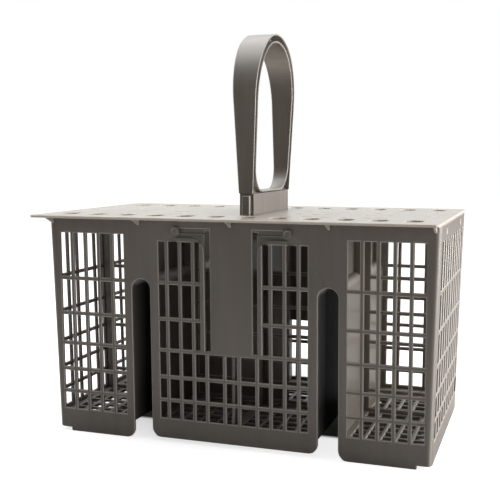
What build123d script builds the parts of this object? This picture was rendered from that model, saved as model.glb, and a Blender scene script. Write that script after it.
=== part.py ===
import os
from math import cos, radians, sin, tan

from build123d import *

# A dishwasher cutlery basket moulded in polypropylene: an open grille body with two channels that
# straddle the wires of the lower rack, a slotted lid, and a loop handle that plugs into the body's
# central divider through the lid. Millimetres, +Z up, -Y the front, origin under the middle of the lid.

# Body shell
body_width = 240.0
body_depth = 132.0
body_height = 135.9
body_corner = 3.2
draft = 1.35
wall = 2.0
floor_underside = 10.4
floor_thickness = 2.0
foot_relief = 2.2
foot_end_inset = 11.5
foot_corner = 6.0

# Rack channels
channel_middle_x = 58.0
channel_width = 11.9
channel_top = 99.5
channel_wall = 1.8

# Grille of the walls
window_bottom = 14.7
window_top = 126.4
grille_bar = 2.3
row_growth = 1.18
lower_rows = 5
top_row_share = 2.67
side_bay_inner_x = 69.2
side_bay_end_inset = 7.6
side_bay_columns = 5
middle_bay_x = 46.1
middle_bay_drop = 3.6
middle_bay_open_rows = 3
middle_bay_bar_pitch = 8.4
middle_bay_outer_bar_x = 40.8
middle_bay_group_bars = 4
middle_bay_centre_bar_x = 4.55
end_window_margin = 8.5
end_window_half_columns = 5
end_rib = 5.0

# Front and back panels, with the curved frame ribs and the studs beside them
panel_half_width = 13.2
panel_slot = 3.1
frame_rib = 3.0
frame_rib_height = 0.9
frame_rib_corner = 8.0
stud_x = 34.6
stud_diameter = 5.6
stud_sides = 12
stud_height = 1.4
stud_below_rim = 6.4
stud_slot_height = 2.8
stud_slot_depth = 1.3

# Inner walls
divider = 2.0
divider_window_top = 80.0
divider_window_margin = 9.0
cross_wall = 2.0
cross_wall_top = 130.0
cross_wall_margin = 4.0
inner_bar = 2.2

# Floor grid
floor_bar = 2.4
floor_rim = 4.0
floor_rows = 2
floor_side_columns = 5
floor_middle_half_columns = 4

# Lid
lid_thickness = 1.6
lid_lip = 10.0
lid_lift_lip = 8.2
lid_corner = 2.0
lid_hole_width = 10.0
lid_hole_length = 17.0
lid_hole_corner = 3.0
lid_hole_count = 12
lid_hole_pitch = 19.6
lid_hole_inset = 22.5
lid_column_pitch = 17.0
lid_first_column = 30.0
lid_slot_length = 18.5
lid_slot_width = 5.0
lid_small_hole = 4.6
lid_row_pitch = 24.0
lid_rows = 4
lid_fine_slot_length = 12.0
lid_fine_slot_width = 3.4
lid_fine_rows = 6
lid_fine_pitch = 13.0
lid_fine_inset = 12.5
gusset_count = 5
gusset_thickness = 1.4
gusset_height = 3.8
gusset_reach = 8.6
gusset_end_inset = 3.0
catch_y = 39.0
catch_width = 4.0
catch_length = 5.6
catch_thickness = 1.2
catch_nib = 1.3
catch_nib_height = 2.0

# Handle
handle_half_length = 41.2
handle_foot_half_length = 38.8
handle_top = 250.0
handle_arm_thickness = 5.2
handle_crown_thickness = 5.3
handle_band = 1.1
handle_web = 3.0
handle_half_width_low = 4.5
handle_half_width_high = 8.8
handle_widest_z = 241.0
handle_eye_corner = 16.0
handle_eye_floor = 1.4
post_height = 13.2
post_half_length = 36.7
post_nose_half_width = 2.6
post_nose_reach = 2.4
post_nose_step = 1.1
post_nose_chamfer = 0.7
tongue_length = 60.0
tongue_thickness = 5.0
tongue_depth = 13.5
socket_wall = 1.8

# Clearances
slide_clearance = 0.3
seat_clearance = 0.2

# Levels and places that follow from the sizes above
lean = tan(radians(draft))
floor_top = floor_underside + floor_thickness
lid_underside = body_height
lid_top = lid_underside + lid_thickness
middle_bay_top = window_top - middle_bay_drop
foot_outer_x = body_width / 2 - foot_end_inset
side_bay_outer_x = body_width / 2 - side_bay_end_inset


def outer_half_width(z):
    """Half the body's outer width at a height, with the draft of its end walls."""
    return body_width / 2 - (body_height - z) * lean


def outer_half_depth(z):
    """Half the body's outer depth at a height, with the draft of its front and back walls."""
    return body_depth / 2 - (body_height - z) * lean


def drafted_block(low, high, inset, mode):
    """A block from one height to another that keeps the same distance inside the drafted outer walls."""
    width = 2 * (outer_half_width(low) - inset)
    depth = 2 * (outer_half_depth(low) - inset)
    flare = (high - low) * lean
    upright = (90, 0, 0)
    from_below = (Align.CENTER, Align.MIN, Align.CENTER)
    with Locations((0, 0, low)):
        Wedge(width, high - low, depth, -flare, -flare, width + flare, depth + flare, upright, from_below, mode)


def spans(start, end, count, bar):
    """Centres and width of equal openings between bars, from start to end."""
    width = (end - start - bar * (count - 1)) / count
    return [start + width / 2 + (width + bar) * index for index in range(count)], width


def wall_plane(side):
    """The drafted outer face of the front (side -1) or back (side 1) wall, with its origin at the rim."""
    outward = (0, side * cos(radians(draft)), -sin(radians(draft)))
    return Plane(origin=(0, side * body_depth / 2, body_height), x_dir=(-side, 0, 0), z_dir=outward)


# Rack channels: the radius of the arch, and the outside of the channel walls
channel_radius = channel_width / 2
channel_spring = channel_top - channel_radius
channel_outer_half = channel_radius + channel_wall

# Rows of the grille, each higher than the one below, and the upright bars of each bay
window_height = window_top - window_bottom
row_shares = [row_growth**row for row in range(lower_rows)] + [top_row_share]
row_unit = (window_height - grille_bar * lower_rows) / sum(row_shares)
row_heights = [row_unit * share for share in row_shares]
row_floors = [window_bottom + sum(row_heights[:row]) + grille_bar * row for row in range(len(row_heights))]
row_bar_zs = [row_floor - grille_bar / 2 for row_floor in row_floors[1:]]
panel_floor = row_floors[-middle_bay_open_rows]
frame_rib_inner_x = panel_half_width + panel_slot
frame_rib_outer_x = frame_rib_inner_x + frame_rib
side_bay_pitch = (side_bay_outer_x - side_bay_inner_x + grille_bar) / side_bay_columns
side_bar_xs = [side_bay_inner_x - grille_bar / 2 + side_bay_pitch * bar for bar in range(1, side_bay_columns)]
group_bar_xs = [middle_bay_outer_bar_x - middle_bay_bar_pitch * bar for bar in range(middle_bay_group_bars)]
end_window_half = body_depth / 2 - end_window_margin
end_pitch = (end_window_half - end_rib / 2 + grille_bar) / end_window_half_columns
end_bar_ys = [end_rib / 2 - grille_bar / 2 + end_pitch * bar for bar in range(1, end_window_half_columns)]

# The walls lean, so a cut through one starts at its inner face at the bottom of the windows
wall_cut = wall + (body_height - window_bottom) * lean

# Inner walls, the pocket for the handle's tongue, and the slots for the lid's catches
divider_window_length = outer_half_depth(floor_top) - wall - 2 * divider_window_margin
divider_window_y = divider_window_margin + divider_window_length / 2
cross_bays = [
    (divider / 2 + cross_wall_margin, channel_middle_x - channel_outer_half - cross_wall_margin),
    (channel_middle_x + channel_outer_half + cross_wall_margin, outer_half_width(floor_top) - wall - cross_wall_margin),
]
inner_top = body_height - seat_clearance
pocket_floor = lid_top - tongue_depth - slide_clearance
pocket_thickness = tongue_thickness + 2 * slide_clearance
pocket_length = tongue_length + 2 * slide_clearance
catch_slot_z = lid_underside - catch_length + catch_nib_height / 2

with BuildPart() as inner_walls:
    # Walls and arched roofs of the two rack channels, from the front wall to the back wall, with a partition
    # on each roof that keeps the bays apart
    with BuildSketch(Plane.XZ):
        for side in (-1, 1):
            with Locations((side * channel_middle_x, floor_underside)):
                Rectangle(2 * channel_outer_half, channel_spring - floor_underside, align=(Align.CENTER, Align.MIN))
            with Locations((side * channel_middle_x, channel_spring)):
                Circle(channel_outer_half)
                Rectangle(channel_wall, inner_top - channel_spring, align=(Align.CENTER, Align.MIN))
    extrude(amount=body_depth / 2, both=True)

    # Central divider, front to back, with a window each side of the cross wall
    with BuildSketch(Plane.YZ):
        with Locations((0, floor_underside)):
            Rectangle(body_depth, inner_top - floor_underside, align=(Align.CENTER, Align.MIN))
        with Locations((-divider_window_y, floor_top), (divider_window_y, floor_top)):
            Rectangle(
                divider_window_length,
                divider_window_top - floor_top,
                align=(Align.CENTER, Align.MIN),
                mode=Mode.SUBTRACT,
            )
    extrude(amount=divider / 2, both=True)

    # Cross wall from end to end, an open ladder of bars level with the bars of the outer walls
    with BuildSketch(Plane.XZ):
        with Locations((0, floor_underside)):
            Rectangle(body_width, cross_wall_top - floor_underside, align=(Align.CENTER, Align.MIN))
        for bay_start, bay_end in cross_bays:
            bay_middle = (bay_start + bay_end) / 2
            for row_floor, row_height in zip(row_floors, row_heights):
                opening_height = min(row_floor + row_height, cross_wall_top - inner_bar) - row_floor
                with Locations((-bay_middle, row_floor), (bay_middle, row_floor)):
                    Rectangle(
                        bay_end - bay_start, opening_height, align=(Align.CENTER, Align.MIN), mode=Mode.SUBTRACT
                    )
    extrude(amount=cross_wall / 2, both=True)

    # Socket for the handle's tongue at the top of the divider
    with BuildSketch(Plane.XY.offset(pocket_floor - socket_wall)):
        Rectangle(pocket_thickness + 2 * socket_wall, pocket_length + 2 * socket_wall)
    extrude(amount=inner_top - pocket_floor + socket_wall)
    with BuildSketch(Plane.XY.offset(pocket_floor)):
        Rectangle(pocket_thickness, pocket_length)
    extrude(amount=body_height - pocket_floor, mode=Mode.SUBTRACT)

    # All of them end inside the drafted outer walls
    drafted_block(0, body_height, wall / 2, Mode.INTERSECT)

with BuildPart() as basket_body:
    # Drafted outer shell with its upright corners rounded
    drafted_block(0, body_height, 0, Mode.ADD)
    fillet(basket_body.edges().group_by(Axis.Z)[1], body_corner)

    # Space above the floor, and the skirt's hollow below it
    drafted_block(floor_top, body_height, wall, Mode.SUBTRACT)
    drafted_block(0, floor_underside, wall, Mode.SUBTRACT)
    add(inner_walls.part)

    # The channels themselves, open at both ends and underneath
    with BuildSketch(Plane.XZ):
        for side in (-1, 1):
            with Locations((side * channel_middle_x, 0)):
                Rectangle(channel_width, channel_spring, align=(Align.CENTER, Align.MIN))
            with Locations((side * channel_middle_x, channel_spring)):
                Circle(channel_radius)
    extrude(amount=body_depth, both=True, mode=Mode.SUBTRACT)

    # The skirt is lifted between the channels and at the ends, so the basket stands on four feet
    with BuildSketch(Plane.XY):
        Rectangle(2 * channel_middle_x, 2 * body_depth)
        for side in (-1, 1):
            with Locations((side * foot_outer_x, 0)):
                Rectangle(body_width, 2 * body_depth, align=(Align.MIN if side > 0 else Align.MAX, Align.CENTER))
    extrude(amount=foot_relief, mode=Mode.SUBTRACT)

    # Lower corners of the skirt beside the channels are rounded, to guide the basket over the wires
    channel_faces_x = [channel_middle_x - channel_radius, channel_middle_x + channel_radius]
    skirt_corners = (
        basket_body.edges()
        .filter_by(Axis.Y)
        .filter_by(lambda edge: edge.center().Z < foot_relief + grille_bar / 10)
        .filter_by(lambda edge: min(abs(abs(edge.center().X) - x) for x in channel_faces_x) < grille_bar / 10)
    )
    fillet(skirt_corners, foot_corner)

    # Slots that free each panel from its frame ribs
    with BuildSketch(Plane.XZ.offset(-body_depth / 2), Plane.XZ.offset(body_depth / 2)):
        for side in (-1, 1):
            towards_end = Align.MIN if side > 0 else Align.MAX
            with Locations((side * panel_half_width, panel_floor)):
                Rectangle(panel_slot, body_height - stud_below_rim - panel_floor, align=(towards_end, Align.MIN))
    extrude(amount=wall_cut, both=True, mode=Mode.SUBTRACT)

    # Grooves along the rim to the studs, curved frame ribs beside the panel, and the studs, on both long walls
    rib_floor = (panel_floor - body_height) / cos(radians(draft))
    rib_top = (middle_bay_top + frame_rib / 2 - body_height) / cos(radians(draft))
    for side in (-1, 1):
        face = wall_plane(side)
        with BuildSketch(face):
            with Locations((-panel_half_width, -stud_below_rim)):
                Rectangle(stud_x - panel_half_width, stud_slot_height, align=(Align.MAX, Align.CENTER))
            with Locations((panel_half_width, -stud_below_rim)):
                Rectangle(stud_x - panel_half_width, stud_slot_height, align=(Align.MIN, Align.CENTER))
        extrude(amount=-stud_slot_depth, mode=Mode.SUBTRACT)
        with BuildSketch(face.offset(-wall / 2)):
            for hand in (-1, 1):
                rib_x = hand * (frame_rib_inner_x + frame_rib / 2)
                with BuildLine():
                    FilletPolyline(
                        (rib_x, rib_floor),
                        (rib_x, rib_top),
                        (hand * stud_x, rib_top),
                        radius=frame_rib_corner,
                    )
                trace(line_width=frame_rib)
        extrude(amount=wall / 2 + frame_rib_height)
        with BuildSketch(face.offset(-wall / 2)):
            with Locations((-stud_x, -stud_below_rim), (stud_x, -stud_below_rim)):
                RegularPolygon(stud_diameter / 2, stud_sides)
        extrude(amount=wall / 2 + stud_height)

    # Small slots near the top of the end walls, for the lid's catches
    with BuildSketch(Plane.YZ):
        with Locations((-catch_y, catch_slot_z), (catch_y, catch_slot_z)):
            Rectangle(catch_width + 2 * slide_clearance, catch_nib_height + 2 * slide_clearance)
    extrude(amount=body_width, both=True, mode=Mode.SUBTRACT)

    # Drain slots through the floor of the three bays
    floor_half_depth = outer_half_depth(floor_underside) - wall - floor_rim
    floor_ys, floor_length = spans(-floor_half_depth, floor_half_depth, floor_rows, cross_wall + floor_bar)
    middle_xs, middle_opening = spans(
        divider / 2 + floor_bar,
        channel_middle_x - channel_outer_half - floor_rim,
        floor_middle_half_columns,
        floor_bar,
    )
    side_xs, side_opening = spans(
        channel_middle_x + channel_outer_half + floor_rim,
        outer_half_width(floor_underside) - wall - floor_rim,
        floor_side_columns,
        floor_bar,
    )
    with BuildSketch(Plane.XY.offset(floor_underside)):
        with Locations(*[(x * side, y) for x in middle_xs for y in floor_ys for side in (-1, 1)]):
            Rectangle(middle_opening, floor_length)
        with Locations(*[(x * side, y) for x in side_xs for y in floor_ys for side in (-1, 1)]):
            Rectangle(side_opening, floor_length)
    extrude(amount=floor_thickness, mode=Mode.SUBTRACT)

    # Grille of the end walls: finer bars on both sides of a middle rib
    with BuildSketch(Plane.YZ.offset(-body_width / 2), Plane.YZ.offset(body_width / 2)):
        with Locations((0, window_bottom)):
            Rectangle(2 * end_window_half, window_height, align=(Align.CENTER, Align.MIN))
            Rectangle(end_rib, window_height, align=(Align.CENTER, Align.MIN), mode=Mode.SUBTRACT)
        with Locations(*[(0, z) for z in row_bar_zs]):
            Rectangle(2 * end_window_half, grille_bar, mode=Mode.SUBTRACT)
        with Locations(*[(side * y, window_bottom) for y in end_bar_ys for side in (-1, 1)]):
            Rectangle(grille_bar, window_height, align=(Align.CENTER, Align.MIN), mode=Mode.SUBTRACT)
    extrude(amount=wall_cut, both=True, mode=Mode.SUBTRACT)

    # Grille of the front and back walls: a bay at each side and one in the middle, crossed by bars. The
    # middle bay's upper rows are closed by the panel and its frame.
    side_bay_middle = (side_bay_inner_x + side_bay_outer_x) / 2
    upright_xs = side_bar_xs + group_bar_xs + [middle_bay_centre_bar_x]
    with BuildSketch(Plane.XZ.offset(-body_depth / 2), Plane.XZ.offset(body_depth / 2)):
        with Locations((-side_bay_middle, window_bottom), (side_bay_middle, window_bottom)):
            Rectangle(side_bay_outer_x - side_bay_inner_x, window_height, align=(Align.CENTER, Align.MIN))
        with Locations((0, window_bottom)):
            Rectangle(2 * middle_bay_x, middle_bay_top - window_bottom, align=(Align.CENTER, Align.MIN))
        with Locations((0, panel_floor - grille_bar)):
            Rectangle(2 * frame_rib_outer_x, window_height, align=(Align.CENTER, Align.MIN), mode=Mode.SUBTRACT)
        with Locations(*[(0, z) for z in row_bar_zs]):
            Rectangle(2 * side_bay_outer_x, grille_bar, mode=Mode.SUBTRACT)
        with Locations(*[(side * x, window_bottom) for x in upright_xs for side in (-1, 1)]):
            Rectangle(grille_bar, window_height, align=(Align.CENTER, Align.MIN), mode=Mode.SUBTRACT)
    extrude(amount=wall_cut, both=True, mode=Mode.SUBTRACT)

basket_body.part.label = "basket_body"

lid_left = -body_width / 2 - lid_lift_lip
lid_right = body_width / 2
lid_middle = (lid_left + lid_right) / 2
lid_length = lid_right - lid_left
lid_half_depth = body_depth / 2 + lid_lip
hole_y = lid_half_depth - lid_hole_inset
centre_slot_y = (hole_y - lid_hole_length / 2 + post_half_length + post_nose_reach) / 2
gusset_back = body_depth / 2 + seat_clearance
gusset_span = body_width - 2 * gusset_end_inset
gusset_xs = [-gusset_span / 2 + gusset_span * index / (gusset_count - 1) for index in range(gusset_count)]
catch_face = outer_half_width(lid_underside - catch_length) - wall - seat_clearance

with BuildPart() as lid:
    # Flat plate, with a lift lip at the left end
    with BuildSketch(Plane.XY.offset(lid_underside)) as plate:
        with Locations((lid_middle, 0)):
            Rectangle(lid_length, 2 * lid_half_depth)
        chamfer(plate.vertices(), lid_corner)
    extrude(amount=lid_thickness)

    # Triangular gussets under the front and back lips, which locate the lid on the walls
    with BuildSketch(*[Plane.YZ.offset(x) for x in gusset_xs]):
        for side in (-1, 1):
            with BuildLine():
                Polyline(
                    (side * gusset_back, lid_underside),
                    (side * (gusset_back + gusset_reach), lid_underside),
                    (side * gusset_back, lid_underside - gusset_height),
                    close=True,
                )
            make_face()
    extrude(amount=gusset_thickness / 2, both=True)

    # Catches that hang inside the end walls, each with a nib in a slot of the wall
    with BuildSketch(Plane.XZ.offset(-catch_y), Plane.XZ.offset(catch_y)):
        for side in (-1, 1):
            inwards = Align.MAX if side > 0 else Align.MIN
            outwards = Align.MIN if side > 0 else Align.MAX
            with Locations((side * catch_face, lid_underside)):
                Rectangle(catch_thickness, catch_length, align=(inwards, Align.MAX))
            with Locations((side * catch_face, catch_slot_z)):
                Rectangle(catch_nib, catch_nib_height, align=(outwards, Align.CENTER))
    extrude(amount=catch_width / 2, both=True)

    # A row of holes for cutlery along the front and the back
    with BuildSketch(Plane.XY.offset(lid_underside)) as cutlery_holes:
        with Locations((lid_middle, 0)):
            with GridLocations(lid_hole_pitch, 2 * hole_y, lid_hole_count, 2):
                Rectangle(lid_hole_width, lid_hole_length)
        chamfer(cutlery_holes.vertices(), lid_hole_corner)
    extrude(amount=lid_thickness, mode=Mode.SUBTRACT)

    # Columns of long slots and small square holes in turn, fine slots at the ends and before and behind the
    # handle, and the opening for the handle's tongue
    column_xs = [lid_first_column + lid_column_pitch * column for column in range(4)]
    with BuildSketch(Plane.XY.offset(lid_underside)):
        with Locations((lid_middle, 0)):
            for column_x in column_xs[0::2]:
                with GridLocations(2 * column_x, lid_row_pitch, 2, lid_rows):
                    Rectangle(lid_small_hole, lid_small_hole)
            for column_x in column_xs[1::2]:
                with GridLocations(2 * column_x, lid_row_pitch, 2, lid_rows):
                    Rectangle(lid_slot_length, lid_slot_width)
            with GridLocations(lid_length - 2 * lid_fine_inset, lid_fine_pitch, 2, lid_fine_rows):
                Rectangle(lid_fine_slot_length, lid_fine_slot_width)
        with Locations((0, -centre_slot_y), (0, centre_slot_y)):
            Rectangle(lid_slot_length, lid_fine_slot_width)
        Rectangle(pocket_thickness, pocket_length)
    extrude(amount=lid_thickness, mode=Mode.SUBTRACT)

lid.part.label = "lid"

post_top = lid_top + post_height
eye_floor = post_top + handle_eye_floor


def loop_outline(floor, inset, crown_inset, corner):
    """Sketches straight arms that lean out to a round crown, inside the handle's outline by an inset."""
    crown_radius = handle_half_length - inset
    crown_middle = handle_top - crown_inset - crown_radius
    foot_half_length = handle_foot_half_length - inset
    with BuildSketch(mode=Mode.PRIVATE) as loop:
        with BuildLine():
            Polyline(
                (-foot_half_length, floor),
                (foot_half_length, floor),
                (crown_radius, crown_middle),
                (-crown_radius, crown_middle),
                close=True,
            )
        make_face()
        if corner:
            fillet(loop.vertices().group_by(Axis.Y)[0], corner)
        with Locations((0, crown_middle)):
            Circle(crown_radius)
    return loop.sketch


with BuildPart() as handle:
    # Loop seen from the end of the basket, solid at first
    with BuildSketch(Plane.YZ):
        add(loop_outline(post_top, 0, 0, 0))
    extrude(amount=handle_half_width_high, both=True)

    # Hollow sides: only a web is left between the outer band and the band round the eye
    for side in (-1, 1):
        with BuildSketch(Plane.YZ.offset(side * handle_web / 2)):
            add(loop_outline(post_top, handle_band, handle_band, 0))
            add(
                loop_outline(
                    eye_floor - handle_band,
                    handle_arm_thickness - handle_band,
                    handle_crown_thickness - handle_band,
                    handle_eye_corner + handle_band,
                ),
                mode=Mode.SUBTRACT,
            )
        extrude(amount=side * handle_half_width_high, mode=Mode.SUBTRACT)

    # The eye that the fingers go through
    with BuildSketch(Plane.YZ):
        add(loop_outline(eye_floor, handle_arm_thickness, handle_crown_thickness, handle_eye_corner))
    extrude(amount=handle_half_width_high, both=True, mode=Mode.SUBTRACT)

    # The strap widens from the post to the crown
    with BuildSketch(Plane.XZ):
        with BuildLine():
            Polyline(
                (-handle_half_width_low, post_top),
                (-handle_half_width_high, handle_widest_z),
                (-handle_half_width_high, handle_top),
                (handle_half_width_high, handle_top),
                (handle_half_width_high, handle_widest_z),
                (handle_half_width_low, post_top),
                close=True,
            )
        make_face()
    extrude(amount=handle_half_length, both=True, mode=Mode.INTERSECT)

    # Post that stands on the lid, with a narrow nose at the front and the back
    with BuildSketch(Plane.XY.offset(lid_top)):
        Rectangle(2 * handle_half_width_low, 2 * post_half_length)
    extrude(amount=post_height)
    with BuildSketch(Plane.XY.offset(lid_top)) as nose:
        Rectangle(2 * post_nose_half_width, 2 * (post_half_length + post_nose_reach))
        chamfer(nose.vertices(), post_nose_chamfer)
    extrude(amount=post_height - post_nose_step)

    # Tongue that goes down through the lid into the divider's socket
    with BuildSketch(Plane.XY.offset(lid_top)):
        Rectangle(tongue_thickness, tongue_length)
    extrude(amount=-tongue_depth)

handle.part.label = "handle"

# The object's origin lies under the middle of the lid, whose lift lip makes it longer than the body
os.makedirs("parts", exist_ok=True)
for piece in (basket_body, lid, handle):
    export_step(piece.part.moved(Location((-lid_middle, 0, 0))), f"parts/{piece.part.label}.step")
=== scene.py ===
from math import radians

import bmesh
import bpy
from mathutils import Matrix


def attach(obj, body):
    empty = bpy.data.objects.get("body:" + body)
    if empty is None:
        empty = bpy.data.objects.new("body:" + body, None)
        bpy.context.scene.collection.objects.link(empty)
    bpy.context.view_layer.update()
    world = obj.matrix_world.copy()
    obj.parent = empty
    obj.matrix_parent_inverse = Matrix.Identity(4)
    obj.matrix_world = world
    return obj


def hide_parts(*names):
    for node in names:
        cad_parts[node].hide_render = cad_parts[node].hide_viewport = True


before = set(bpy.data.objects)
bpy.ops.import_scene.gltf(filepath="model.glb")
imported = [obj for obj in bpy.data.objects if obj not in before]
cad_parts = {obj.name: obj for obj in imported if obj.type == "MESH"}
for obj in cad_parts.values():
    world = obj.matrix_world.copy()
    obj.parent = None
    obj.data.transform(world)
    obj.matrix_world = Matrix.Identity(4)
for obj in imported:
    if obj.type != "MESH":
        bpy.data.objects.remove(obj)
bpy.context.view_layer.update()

# Basket body
# The open grille body is one polypropylene moulding, coloured right through in a warm dark grey.
# It leaves the tool with a fine satin skin, faint flow streaks and a slight break on every edge, whose faces
# carry a paler painted highlight.
body_edge_break = 0.0005
body_grey = (0.160, 0.136, 0.115, 1.0)
body_pale_grey = (0.205, 0.177, 0.152, 1.0)
# The rim grey is a painted highlight on the broken edges.
body_rim_highlight_grey = (0.400, 0.362, 0.322, 1.0)
body_streaks = 0.5
body_roughness = (0.30, 0.42)
body_middle_x = 0.0041
plastic_ior = 1.49
plastic_shine = 0.5
flow_scale = 160.0
flow_detail = 3.0
flow_upright = 0.08
cloud_scale = 14.0
cloud_detail = 2.0
shade_span = (0.3, 0.7)
grain_scale = 1400.0
grain_detail = 2.0
grain_strength = 0.12
grain_height = 0.0002
rim_highlight_slant = (0.95, 0.75)
# Where the painted shade inside the two rack channels lies, and its dark grey and low shine.
channel_middle_x = 0.058
channel_half_width = 0.0066
channel_spring = 0.0936
channel_mouth = 0.0625
channel_dark = 0.045
channel_shade_grey = (0.020, 0.017, 0.015, 1.0)
channel_shade_shine = 0.02


def plug(tree, node, inputs):
    """Fills a node's inputs: with a link where another node's output is given, or else with a value."""
    for socket, source in inputs.items():
        if isinstance(source, bpy.types.NodeSocket):
            tree.links.new(source, node.inputs[socket])
        else:
            node.inputs[socket].default_value = source


def add_node(tree, kind, inputs=None, **settings):
    """Adds a node of one kind to a tree, with its settings and its inputs."""
    node = tree.nodes.new(kind)
    for setting, value in settings.items():
        setattr(node, setting, value)
    plug(tree, node, inputs or {})
    return node


moulded_skin = bpy.data.node_groups.new("moulded skin", "ShaderNodeTree")
for socket_name, socket_type, value in (
    ("Deep colour", "NodeSocketColor", body_grey),
    ("Pale colour", "NodeSocketColor", body_pale_grey),
    ("Rim highlight colour", "NodeSocketColor", body_rim_highlight_grey),
    ("Streaks", "NodeSocketFloat", body_streaks),
    ("Lowest roughness", "NodeSocketFloat", body_roughness[0]),
    ("Highest roughness", "NodeSocketFloat", body_roughness[1]),
):
    socket = moulded_skin.interface.new_socket(socket_name, in_out="INPUT", socket_type=socket_type)
    socket.default_value = value
for socket_name, socket_type in (
    ("Colour", "NodeSocketColor"),
    ("Roughness", "NodeSocketFloat"),
    ("Shine", "NodeSocketFloat"),
    ("Height", "NodeSocketFloat"),
):
    moulded_skin.interface.new_socket(socket_name, in_out="OUTPUT", socket_type=socket_type)
skin_in = add_node(moulded_skin, "NodeGroupInput")
skin_place = add_node(moulded_skin, "ShaderNodeTexCoord")

# Streaks that run with the flow of the plastic, over soft clouds
flow_stretch = add_node(moulded_skin, "ShaderNodeMapping", {
    "Vector": skin_place.outputs["Object"],
    "Scale": (1.0, 1.0, flow_upright),
})
flow = add_node(moulded_skin, "ShaderNodeTexNoise", {
    "Vector": flow_stretch.outputs["Vector"],
    "Scale": flow_scale,
    "Detail": flow_detail,
})
cloud = add_node(moulded_skin, "ShaderNodeTexNoise", {
    "Vector": skin_place.outputs["Object"],
    "Scale": cloud_scale,
    "Detail": cloud_detail,
})
tone = add_node(moulded_skin, "ShaderNodeMix", {
    "Factor": skin_in.outputs["Streaks"],
    "A": cloud.outputs["Fac"],
    "B": flow.outputs["Fac"],
})
shade = add_node(moulded_skin, "ShaderNodeMapRange", {
    "Value": tone.outputs["Result"],
    "From Min": shade_span[0],
    "From Max": shade_span[1],
})
tint = add_node(moulded_skin, "ShaderNodeMix", {
    "Factor": shade.outputs["Result"],
    "A": skin_in.outputs["Deep colour"],
    "B": skin_in.outputs["Pale colour"],
}, data_type="RGBA")

# Painted highlight: the broken edges are the faces that lie square to no axis, and they are painted paler
facing = add_node(moulded_skin, "ShaderNodeNewGeometry")
turned = add_node(
    moulded_skin, "ShaderNodeVectorMath", {0: facing.outputs["True Normal"]}, operation="ABSOLUTE"
)
turned_axes = add_node(moulded_skin, "ShaderNodeSeparateXYZ", {"Vector": turned.outputs["Vector"]})
square_wall = add_node(moulded_skin, "ShaderNodeMath", {
    0: turned_axes.outputs["X"],
    1: turned_axes.outputs["Y"],
}, operation="MAXIMUM")
square_face = add_node(moulded_skin, "ShaderNodeMath", {
    0: square_wall.outputs["Value"],
    1: turned_axes.outputs["Z"],
}, operation="MAXIMUM")
rim = add_node(moulded_skin, "ShaderNodeMapRange", {
    "Value": square_face.outputs["Value"],
    "From Min": rim_highlight_slant[0],
    "From Max": rim_highlight_slant[1],
})
rim_highlighted = add_node(moulded_skin, "ShaderNodeMix", {
    "Factor": rim.outputs["Result"],
    "A": tint.outputs["Result"],
    "B": skin_in.outputs["Rim highlight colour"],
}, data_type="RGBA")

# Painted shade: the walls deep inside the two arched rack channels are painted darker and given less shine
# than the open faces, more so further in from the mouth
channel_place = add_node(moulded_skin, "ShaderNodeMapping", {
    "Vector": skin_place.outputs["Object"],
    "Location": (-body_middle_x, 0.0, 0.0),
})
channel_fold = add_node(
    moulded_skin, "ShaderNodeVectorMath", {0: channel_place.outputs["Vector"]}, operation="ABSOLUTE"
)
channel_axes = add_node(moulded_skin, "ShaderNodeSeparateXYZ", {"Vector": channel_fold.outputs["Vector"]})
channel_side = add_node(moulded_skin, "ShaderNodeMath", {
    0: channel_axes.outputs["X"],
    1: channel_middle_x,
}, operation="SUBTRACT")
channel_rise = add_node(moulded_skin, "ShaderNodeMath", {
    0: channel_axes.outputs["Z"],
    1: channel_spring,
}, operation="SUBTRACT")
channel_arch = add_node(moulded_skin, "ShaderNodeMath", {
    0: channel_rise.outputs["Value"],
    1: 0.0,
}, operation="MAXIMUM")
channel_spread = add_node(moulded_skin, "ShaderNodeCombineXYZ", {
    "X": channel_side.outputs["Value"],
    "Z": channel_arch.outputs["Value"],
})
channel_reach = add_node(
    moulded_skin, "ShaderNodeVectorMath", {0: channel_spread.outputs["Vector"]}, operation="LENGTH"
)
channel_within = add_node(moulded_skin, "ShaderNodeMath", {
    0: channel_reach.outputs["Value"],
    1: channel_half_width,
}, operation="LESS_THAN")
channel_depth = add_node(moulded_skin, "ShaderNodeMapRange", {
    "Value": channel_axes.outputs["Y"],
    "From Min": channel_mouth,
    "From Max": channel_dark,
})
channel_painted_shade = add_node(moulded_skin, "ShaderNodeMath", {
    0: channel_within.outputs["Value"],
    1: channel_depth.outputs["Result"],
}, operation="MULTIPLY")
channel_shaded = add_node(moulded_skin, "ShaderNodeMix", {
    "Factor": channel_painted_shade.outputs["Value"],
    "A": rim_highlighted.outputs["Result"],
    "B": channel_shade_grey,
}, data_type="RGBA")
shine = add_node(moulded_skin, "ShaderNodeMapRange", {
    "Value": channel_painted_shade.outputs["Value"],
    "To Min": plastic_shine,
    "To Max": channel_shade_shine,
})

# The satin skin: a roughness that follows the clouds, and a fine grain
gloss = add_node(moulded_skin, "ShaderNodeMapRange", {
    "Value": cloud.outputs["Fac"],
    "To Min": skin_in.outputs["Lowest roughness"],
    "To Max": skin_in.outputs["Highest roughness"],
})
grain = add_node(moulded_skin, "ShaderNodeTexNoise", {
    "Vector": skin_place.outputs["Object"],
    "Scale": grain_scale,
    "Detail": grain_detail,
})
add_node(moulded_skin, "NodeGroupOutput", {
    "Colour": channel_shaded.outputs["Result"],
    "Roughness": gloss.outputs["Result"],
    "Shine": shine.outputs["Result"],
    "Height": grain.outputs["Fac"],
})

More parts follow.
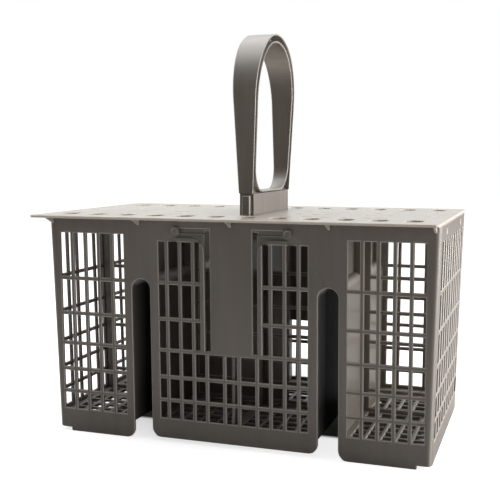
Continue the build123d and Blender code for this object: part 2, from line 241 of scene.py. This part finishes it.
body_plastic = bpy.data.materials.new("body plastic")
body_plastic.use_nodes = True
body_tree = body_plastic.node_tree
body_shader = body_tree.nodes["Principled BSDF"]
body_skin = add_node(body_tree, "ShaderNodeGroup", node_tree=moulded_skin)
body_bump = add_node(body_tree, "ShaderNodeBump", {
    "Strength": grain_strength,
    "Distance": grain_height,
    "Height": body_skin.outputs["Height"],
})
plug(body_tree, body_shader, {
    "IOR": plastic_ior,
    "Base Color": body_skin.outputs["Colour"],
    "Roughness": body_skin.outputs["Roughness"],
    "Specular IOR Level": body_skin.outputs["Shine"],
    "Normal": body_bump.outputs["Normal"],
})


def finish_moulding(node, name, edge_break, plastic):
    """Makes the shown moulding from its solid, with its edges broken as they leave the tool."""
    weld_distance = 0.000005
    sharp_angle = radians(35)
    smooth_angle = radians(28)
    large_face_weight = 100
    bpy.ops.object.select_all(action="DESELECT")
    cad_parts[node].select_set(True)
    bpy.context.view_layer.objects.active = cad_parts[node]
    bpy.ops.object.duplicate()
    moulding = bpy.context.view_layer.objects.active
    moulding.name = name
    moulding.parent = None
    for key in list(moulding.keys()):
        del moulding[key]
    bpy.ops.object.mode_set(mode="EDIT")
    bpy.ops.mesh.select_all(action="SELECT")
    bpy.ops.mesh.remove_doubles(threshold=weld_distance)
    bpy.ops.mesh.select_all(action="DESELECT")
    bpy.ops.mesh.select_mode(type="EDGE")
    shell = bmesh.from_edit_mesh(moulding.data)
    for edge in shell.edges:
        edge.select = edge.is_manifold and edge.is_convex and edge.calc_face_angle() > sharp_angle
    shell.select_flush_mode()
    bmesh.update_edit_mesh(moulding.data)
    bpy.ops.mesh.bevel(offset=edge_break, segments=1, affect="EDGES", clamp_overlap=False)
    bpy.ops.object.mode_set(mode="OBJECT")
    bpy.ops.object.shade_smooth_by_angle(angle=smooth_angle)
    bpy.ops.object.modifier_add(type="WEIGHTED_NORMAL")
    moulding.modifiers[-1].weight = large_face_weight
    moulding.modifiers[-1].keep_sharp = True
    bpy.ops.object.modifier_apply(modifier=moulding.modifiers[-1].name)
    moulding.data.materials.clear()
    moulding.data.materials.append(plastic)
    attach(moulding, "root")
    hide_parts(node)


finish_moulding("basket_body", "body_moulding", body_edge_break, body_plastic)

# Floor cross bars
# The floor of each bay is a grid: the slots of the moulding are crossed by bars that run from left to right.
# They belong to the body's own shot of plastic and lie flush in its floor.
floor_underside = 0.0106
floor_upper_side = 0.0122
cross_bar_width = 0.0022
cross_bar_pitch = 0.00914
cross_bar_rows = 5
cross_bar_edge = 0.0004
floor_row_start = 0.0022
bay_floors = ((0.0026, 0.0468), (0.0692, 0.1116))


def round_bar(bar, edge):
    """Applies the place and size of a bar that is moulded with the body, and rounds its edges."""
    smooth_angle = radians(35)
    bpy.ops.object.transform_apply(location=True, rotation=True, scale=True)
    bpy.ops.object.mode_set(mode="EDIT")
    bpy.ops.mesh.select_all(action="SELECT")
    bpy.ops.mesh.bevel(offset=edge, segments=2, affect="EDGES")
    bpy.ops.object.mode_set(mode="OBJECT")
    bpy.ops.object.shade_smooth_by_angle(angle=smooth_angle)
    bar.data.materials.append(body_plastic)


bpy.ops.object.select_all(action="DESELECT")
cross_bars = []
for bay_start, bay_end in bay_floors:
    for hand in (-1, 1):
        for row in range(1, cross_bar_rows + 1):
            for side in (-1, 1):
                bpy.ops.mesh.primitive_cube_add(
                    size=1.0,
                    location=(
                        body_middle_x + hand * (bay_start + bay_end) / 2,
                        side * (floor_row_start + cross_bar_pitch * row),
                        (floor_underside + floor_upper_side) / 2,
                    ),
                    scale=(bay_end - bay_start, cross_bar_width, floor_upper_side - floor_underside),
                )
                cross_bars.append(bpy.context.view_layer.objects.active)
for bar in cross_bars:
    bar.select_set(True)
bpy.ops.object.join()
floor_bars = bpy.context.view_layer.objects.active
floor_bars.name = "floor_cross_bars"
round_bar(floor_bars, cross_bar_edge)
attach(floor_bars, "root")

# Middle bay webs
# Thin webs close the lower rows of the cross wall beside the divider, so the middle bay is dark there.
# They are moulded with the body, between the bars of that wall: one fills the left half, one is narrow.
web_start = 0.0045
web_ends = (("left", -1, 0.0472), ("right", 1, 0.0165))
web_foot = 0.0115
web_top = 0.0980
web_thickness = 0.0010
web_edge = 0.0002
for web_name, hand, web_end in web_ends:
    bpy.ops.object.select_all(action="DESELECT")
    bpy.ops.mesh.primitive_cube_add(
        size=1.0,
        location=(body_middle_x + hand * (web_start + web_end) / 2, 0.0, (web_foot + web_top) / 2),
        scale=(web_end - web_start, web_thickness, web_top - web_foot),
    )
    bay_web = bpy.context.view_layer.objects.active
    bay_web.name = f"middle_bay_web_{web_name}"
    round_bar(bay_web, web_edge)
    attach(bay_web, "root")

# Stud caps
# Each of the four studs at the ends of the frame ribs has a round head with a shallow dimple.
# The head is moulded with the wall and stands square to its draft.
stud_half_span = 0.0346
stud_level = 0.12947
stud_face = 0.0672
stud_radius = 0.0028
stud_sides = 32
stud_cap_height = 0.0007
stud_edge = 0.0003
stud_rim = 0.0006
stud_dimple_slope = 0.0003
stud_dimple = 0.0003
stud_smooth_angle = radians(40)
stud_head_least = 0.9
stud_flat_least = 0.99
wall_draft = radians(1.35)


def select_outer_face(cap, side, least):
    """Selects the faces of a stud cap that look out of the front (side -1) or back (side 1) wall."""
    bpy.ops.mesh.select_all(action="DESELECT")
    cap_shell = bmesh.from_edit_mesh(cap.data)
    for face in cap_shell.faces:
        face.select = face.normal.y * side > least
    bmesh.update_edit_mesh(cap.data)


for side, side_name in ((-1, "front"), (1, "back")):
    for hand, hand_name in ((-1, "left"), (1, "right")):
        bpy.ops.object.select_all(action="DESELECT")
        bpy.ops.mesh.primitive_cylinder_add(
            vertices=stud_sides,
            radius=stud_radius,
            depth=stud_cap_height,
            location=(body_middle_x + hand * stud_half_span, side * stud_face, stud_level),
            rotation=(radians(90) - side * wall_draft, 0.0, 0.0),
        )
        stud_cap = bpy.context.view_layer.objects.active
        stud_cap.name = f"stud_cap_{side_name}_{hand_name}"
        bpy.ops.object.transform_apply(location=True, rotation=True, scale=True)
        bpy.ops.object.mode_set(mode="EDIT")
        bpy.ops.mesh.select_mode(type="FACE")
        select_outer_face(stud_cap, side, stud_head_least)
        bpy.ops.mesh.bevel(offset=stud_edge, segments=2, affect="EDGES")
        select_outer_face(stud_cap, side, stud_flat_least)
        bpy.ops.mesh.inset(thickness=stud_rim, depth=0.0)
        bpy.ops.mesh.inset(thickness=stud_dimple_slope, depth=-stud_dimple)
        bpy.ops.object.mode_set(mode="OBJECT")
        bpy.ops.object.shade_smooth_by_angle(angle=stud_smooth_angle)
        stud_cap.data.materials.append(body_plastic)
        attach(stud_cap, "root")

# Lid
# A flat slotted plate in the same polypropylene, clipped over the rim, with a lip to lift it by.
# Its plastic is a paler grey than the body's, and its thin side faces are painted a warm, pale glow, a
# painted light for the light that comes through them.
lid_edge_break = 0.0003
lid_grey = (0.330, 0.304, 0.268, 1.0)
lid_pale_grey = (0.410, 0.382, 0.342, 1.0)
lid_rim_highlight_grey = (0.520, 0.468, 0.404, 1.0)
lid_edge_painted_glow = (0.680, 0.590, 0.490, 1.0)
lid_streaks = 0.15
lid_roughness = (0.24, 0.34)
lid_plastic = body_plastic.copy()
lid_plastic.name = "lid plastic"
lid_tree = lid_plastic.node_tree
lid_skin = lid_tree.nodes[body_skin.name]
plug(lid_tree, lid_skin, {
    "Deep colour": lid_grey,
    "Pale colour": lid_pale_grey,
    "Rim highlight colour": lid_rim_highlight_grey,
    "Streaks": lid_streaks,
    "Lowest roughness": lid_roughness[0],
    "Highest roughness": lid_roughness[1],
})
# Painted light: the faces that do not look up or down get a warm, pale glow.
lid_facing = add_node(lid_tree, "ShaderNodeNewGeometry")
lid_lie = add_node(lid_tree, "ShaderNodeSeparateXYZ", {"Vector": lid_facing.outputs["Normal"]})
lid_flat = add_node(lid_tree, "ShaderNodeMath", {0: lid_lie.outputs["Z"]}, operation="ABSOLUTE")
lid_edge_lit = add_node(lid_tree, "ShaderNodeMix", {
    "Factor": lid_flat.outputs["Value"],
    "A": lid_edge_painted_glow,
    "B": lid_skin.outputs["Colour"],
}, data_type="RGBA")
plug(lid_tree, lid_tree.nodes[body_shader.name], {"Base Color": lid_edge_lit.outputs["Result"]})
finish_moulding("lid", "lid_moulding", lid_edge_break, lid_plastic)

# Handle
# A loop with hollow sides, moulded in the same grey, plugged through the lid into the body's divider.
# Its upward faces are painted paler, a painted sheen of the light from above, and the arms keep the streaks
# of the tool.
handle_edge_break = 0.0005
handle_sheen_grey = (0.300, 0.280, 0.258, 1.0)
handle_sheen_span = (0.15, 0.95)
handle_streaks = 0.8
handle_roughness = (0.34, 0.46)
handle_plastic = body_plastic.copy()
handle_plastic.name = "handle plastic"
handle_tree = handle_plastic.node_tree
handle_skin = handle_tree.nodes[body_skin.name]
plug(handle_tree, handle_skin, {
    "Streaks": handle_streaks,
    "Lowest roughness": handle_roughness[0],
    "Highest roughness": handle_roughness[1],
})
# Painted sheen: the more a face looks up, the paler it is painted.
handle_facing = add_node(handle_tree, "ShaderNodeNewGeometry")
handle_lie = add_node(handle_tree, "ShaderNodeSeparateXYZ", {"Vector": handle_facing.outputs["Normal"]})
handle_sheen = add_node(handle_tree, "ShaderNodeMapRange", {
    "Value": handle_lie.outputs["Z"],
    "From Min": handle_sheen_span[0],
    "From Max": handle_sheen_span[1],
})
handle_sheened = add_node(handle_tree, "ShaderNodeMix", {
    "Factor": handle_sheen.outputs["Result"],
    "A": handle_skin.outputs["Colour"],
    "B": handle_sheen_grey,
}, data_type="RGBA")
plug(handle_tree, handle_tree.nodes[body_shader.name], {"Base Color": handle_sheened.outputs["Result"]})
finish_moulding("handle", "handle_moulding", handle_edge_break, handle_plastic)

# Floor
# A plain white sheet that the basket stands on. Under the basket its colour is painted nearly black, a
# painted shadow, and there and behind the basket it does not glow, so the lamps shade it.
# Past that the camera sees it as white as the wall behind.
sheet_size = 8.0
sheet_white = (1.0, 1.0, 1.0, 1.0)
sheet_tone = 0.58
sheet_roughness = 0.9
sheet_glow = 0.8
under_middle = (0.0041, 0.02156)
under_half = (0.108, 0.044)
under_edge = (0.94, 1.06)
# Painted shadow: the sheet's colour under the basket.
under_painted_shadow_tone = 0.06
behind_middle = (-0.0396, 0.0896)
behind_half = (0.11, 0.14)
behind_edge = (0.1, 1.3)
bpy.ops.object.select_all(action="DESELECT")
bpy.ops.mesh.primitive_plane_add(size=sheet_size, location=(0.0, 0.0, 0.0))
floor = bpy.context.view_layer.objects.active
floor.name = "table"
table_white = bpy.data.materials.new("table white")
table_white.use_nodes = True
table_tree = table_white.node_tree
table_ray = add_node(table_tree, "ShaderNodeLightPath")
table_place = add_node(table_tree, "ShaderNodeTexCoord")
table_under, table_behind = (
    add_node(table_tree, "ShaderNodeMapping", {
        "Vector": table_place.outputs["Object"],
        "Location": (-middle[0] / half[0], -middle[1] / half[1], 0.0),
        "Scale": (1.0 / half[0], 1.0 / half[1], 0.0),
    })
    for middle, half in ((under_middle, under_half), (behind_middle, behind_half))
)
table_sides = add_node(
    table_tree, "ShaderNodeVectorMath", {0: table_under.outputs["Vector"]}, operation="ABSOLUTE"
)
table_axes = add_node(table_tree, "ShaderNodeSeparateXYZ", {"Vector": table_sides.outputs["Vector"]})
table_edge = add_node(table_tree, "ShaderNodeMath", {
    0: table_axes.outputs["X"],
    1: table_axes.outputs["Y"],
}, operation="MAXIMUM")
table_clear, table_tone_and_shadow = (
    add_node(table_tree, "ShaderNodeMapRange", {
        "Value": table_edge.outputs["Value"],
        "From Min": under_edge[0],
        "From Max": under_edge[1],
        "To Min": inside,
        "To Max": outside,
    })
    for inside, outside in ((0.0, sheet_glow), (under_painted_shadow_tone, sheet_tone))
)
table_reach = add_node(
    table_tree, "ShaderNodeVectorMath", {0: table_behind.outputs["Vector"]}, operation="LENGTH"
)
table_fade = add_node(table_tree, "ShaderNodeMapRange", {
    "Value": table_reach.outputs["Value"],
    "From Min": behind_edge[0],
    "From Max": behind_edge[1],
}, interpolation_type="SMOOTHSTEP")
table_shaded = add_node(table_tree, "ShaderNodeMath", {
    0: table_clear.outputs["Result"],
    1: table_fade.outputs["Result"],
}, operation="MULTIPLY")
table_glow = add_node(table_tree, "ShaderNodeMath", {
    0: table_ray.outputs["Is Camera Ray"],
    1: table_shaded.outputs["Value"],
}, operation="MULTIPLY")
plug(table_tree, table_tree.nodes["Principled BSDF"], {
    "Base Color": table_tone_and_shadow.outputs["Result"],
    "Roughness": sheet_roughness,
    "Emission Color": sheet_white,
    "Emission Strength": table_glow.outputs["Value"],
})
floor.data.materials.append(table_white)

# Light
# A white wall stands behind the basket and to its right, the room on the camera's side is dim, and two
# large soft panels hang at the right and above.
room_white = (1.0, 1.0, 1.0, 1.0)
wall_turn = radians(20)
wall_edge = 0.35
wall_level = 0.5
wall_gloss = 0.5
room_dim = 0.16
backdrop_level = 1.0
panels = (
    ("right panel", (0.98, 0.25, 0.18), (0.0, radians(89), radians(15)), 0.9, 21.5),
    ("top panel", (-0.4, 0.25, 1.1), (0.0, 0.0, 0.0), 1.2, 15.5),
)
studio = bpy.data.worlds.new("studio")
bpy.context.scene.world = studio
studio.use_nodes = True
studio_tree = studio.node_tree
room_side = add_node(studio_tree, "ShaderNodeTexCoord")
room_turn = add_node(studio_tree, "ShaderNodeMapping", {
    "Vector": room_side.outputs["Generated"],
    "Rotation": (0.0, 0.0, wall_turn),
}, vector_type="VECTOR")
room_axes = add_node(studio_tree, "ShaderNodeSeparateXYZ", {"Vector": room_turn.outputs["Vector"]})
ray = add_node(studio_tree, "ShaderNodeLightPath")
wall_shine = add_node(studio_tree, "ShaderNodeMath", {
    0: ray.outputs["Is Glossy Ray"],
    1: wall_gloss,
    2: wall_level,
}, operation="MULTIPLY_ADD")
room_level = add_node(studio_tree, "ShaderNodeMapRange", {
    "Value": room_axes.outputs["Y"],
    "From Min": -wall_edge,
    "From Max": wall_edge,
    "To Min": room_dim,
    "To Max": wall_shine.outputs["Value"],
})
room = studio_tree.nodes["Background"]
plug(studio_tree, room, {"Color": room_white, "Strength": room_level.outputs["Result"]})
backdrop = add_node(studio_tree, "ShaderNodeBackground", {"Color": room_white, "Strength": backdrop_level})
seen = add_node(studio_tree, "ShaderNodeMixShader", {
    "Fac": ray.outputs["Is Camera Ray"],
    1: room.outputs["Background"],
    2: backdrop.outputs["Background"],
})
plug(studio_tree, studio_tree.nodes["World Output"], {"Surface": seen.outputs["Shader"]})
for panel_name, panel_place, panel_turn, panel_size, panel_power in panels:
    bpy.ops.object.light_add(type="AREA", location=panel_place, rotation=panel_turn)
    panel = bpy.context.view_layer.objects.active
    panel.name = panel_name
    panel.data.size = panel_size
    panel.data.energy = panel_power

# Camera
# It stands in front of the basket and to its right, a little above the lid.
camera_place = (0.1777, -0.5382, 0.1719)
camera_dip = radians(5.40)
camera_turn = radians(19.13)
camera_sensor = 36.0
camera_lens = 62.95
camera_shift = (0.0076, -0.0176)
bpy.ops.object.camera_add(location=camera_place, rotation=(radians(90) - camera_dip, 0.0, camera_turn))
camera = bpy.context.view_layer.objects.active
camera.data.sensor_width = camera_sensor
camera.data.sensor_fit = "HORIZONTAL"
camera.data.lens = camera_lens
camera.data.shift_x, camera.data.shift_y = camera_shift
bpy.context.scene.camera = camera
bpy.context.scene.view_settings.view_transform = "Standard"
